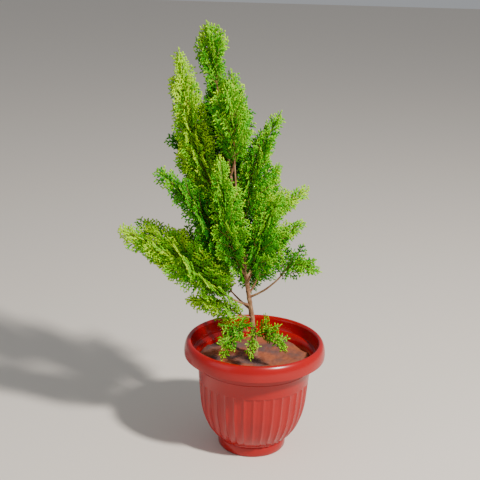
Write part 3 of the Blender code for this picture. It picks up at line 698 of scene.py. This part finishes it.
def growSpray(foot, along, facing, length, lift, tone, tones, twigs, rng):
    # a flat spray: side branchlets in turn along a twig that lifts towards its tip
    across = facing.cross(along).normalized()
    facing = along.cross(across).normalized()

    def place(distance):
        share = distance / length
        return foot + along * distance + lift * (spraySet["lift"] * length * share ** 2)

    last = len(twigSet["radii"]) - 1
    twigs.append(([place(length * i / last) for i in range(last + 1)], list(twigSet["radii"])))
    distance, side = pinnaSet["first"] * length, rng.choice((-1, 1))
    while distance < pinnaSet["last"] * length:
        share = distance / length
        stray = rng.uniform(-pinnaSet["angleSpread"], pinnaSet["angleSpread"])
        angle = math.radians(pinnaSet["angle"] - pinnaSet["closing"] * share + stray)
        ahead = (place(min(distance + 0.002, length)) - place(distance)).normalized()
        pinna = (ahead * math.cos(angle) + across * side * math.sin(angle)).normalized()
        tilt = facing * rng.uniform(-pinnaSet["tilt"], pinnaSet["tilt"])
        pinna = (pinna + tilt).normalized()
        size = rng.uniform(pinnaSet["smallest"], pinnaSet["largest"])
        reach = max(pinnaSet["shortest"], pinnaSet["fullness"] * halfWidth(share, length) * size)
        shade = rng.uniform(-pinnaSet["toneSpread"], pinnaSet["toneSpread"])
        level = toneLevel(int(tone + pinnaSet["toneRise"] * share + shade))
        growLeaflets(place(distance), pinna, facing, reach, level, tones, rng)
        distance += pinnaSet["gap"] * rng.uniform(pinnaSet["gapLow"], pinnaSet["gapHigh"])
        side = -side


def samplePoints(foot, along, across, length):
    # points over a spray, to test whether its mass has room for it
    rows = []
    for share in roomSet["testShares"]:
        half = halfWidth(min(share, roomSet["lastShare"]), length)
        rows += [tuple(foot + along * length * share + across * half * side) for side in (-1, 0, 1)]
    return np.array(rows)


def fullnessAt(share):
    # fullest a third of the way up the stem
    return 0.85 + 0.15 * share / 0.33 if share < 0.33 else 1.0 - 0.34 * (share - 0.33) / 0.67


def limbStem(limb):
    start, count = limbShape["stemStart"], twigSet["stemPoints"]
    radii = [start + (limbShape["stemTip"] - start) * i / (count - 1) for i in range(count)]
    return limb.run(limb.bare, limb.length * twigSet["stemShare"], count), radii


def growSideSprays(limb, space, tones, twigs, rng):
    # sprays wind round the stem; each is made shorter and folded in until its mass has room for it
    start, end = limb.bare, limb.length - limb.tipLength
    count = max(spraySet["fewest"], round((end - start) / spraySet["spacing"]))
    turn = rng.uniform(0, 360)
    turnSpread, angleSpread = spraySet["turnSpread"], spraySet["angleSpread"]
    faceSpread, toneSpread = spraySet["faceSpread"], spraySet["toneSpread"]
    for step in range(count):
        share = (step + 0.5) / count
        foot = limb.at(start + (end - start) * share)
        ahead = limb.ahead(start + (end - start) * share)
        across, other = sideVectors(ahead)
        turn += spraySet["turn"] + rng.uniform(-turnSpread, turnSpread)
        out = across * math.cos(math.radians(turn)) + other * math.sin(math.radians(turn))
        angle = spraySet["angleFoot"] + (spraySet["angleTip"] - spraySet["angleFoot"]) * share
        angle += rng.uniform(-angleSpread, angleSpread)
        facing = (ahead.cross(out) + out * rng.uniform(-faceSpread, faceSpread)).normalized()
        full = limb.spread * spraySet["reach"] * fullnessAt(share)
        full = full * rng.uniform(spraySet["smallest"], spraySet["largest"])
        for shrink, fold in spraySet["tries"]:
            lean = math.radians(angle * fold)
            along = ahead * math.cos(lean) + out * math.sin(lean)
            length = full * shrink
            flat = facing.cross(along).normalized()
            if length <= spraySet["shortest"]:
                continue
            if space.holds(limb.name, samplePoints(foot, along, flat, length)):
                up = Vector((0, 0, 1)) - along * along.z
                lift = up.normalized() if up.length > 0.05 else flat
                shade = limb.tone + spraySet["toneRise"] * (share - 0.5)
                shade += rng.uniform(-toneSpread, toneSpread)
                growSpray(foot, along, facing, length, lift, shade, tones, twigs, rng)
                break


def growTipSprays(limb, tones, twigs, rng):
    # a few straight sprays, each turned from the last, carry the stem out to its tip
    foot = limb.at(limb.length - limb.tipLength)
    along = (limb.points[-1] - foot).normalized()
    across, other = sideVectors(along)
    for twist in tipSet["twists"]:
        facing = (across * math.cos(twist) + other * math.sin(twist)).normalized()
        length = limb.tipLength * (1.0 - tipSet["shrink"] * twist)
        shade = limb.tone + tipSet["toneRise"]
        growSpray(foot, along, facing, length, Vector((0, 0, 0)), shade, tones, twigs, rng)


def makeFoliage(limbs):
    space = Space(limbs)
    tones, twigs = [Leaflets() for _ in toneSet], []
    for index, limb in enumerate(limbs):
        rng = random.Random(spraySet["seed"] + spraySet["seedStep"] * index)
        twigs.append(limbStem(limb))
        growSideSprays(limb, space, tones, twigs, rng)
        growTipSprays(limb, tones, twigs, rng)
    for (label, first, second), leaflets in zip(toneSet, tones):
        leaf = mottledMaterial(label + "Leaf", first, second, **leafFinish)
        perPiece = trianglesPerPiece // trianglesPerLeaflet
        for part in range(0, len(leaflets.rows), perPiece):
            points, triangles = leaflets.arrays(leaflets.rows[part:part + perPiece])
            name = f"{label}Sprays{part // perPiece + 1}"
            piece = meshFromArrays(name, points, triangles)
            piece.data.materials.append(leaf)
            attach(piece, "root")
        print(label, "branchlets:", len(leaflets.rows))
    twigPiece = joinTubes("greenTwigs", [(path, radii, twigSet["sides"], 0.0) for path, radii in twigs])
    twigPiece.data.materials.append(mottledMaterial("youngBark", **twigFinish))
    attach(twigPiece, "root")
    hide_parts(*foliageNodes)


limbs = [Limb(name) for name in ["crown_top"] + list(limbSet)]
makeBark(limbs)
print("bark made")
makeFoliage(limbs)
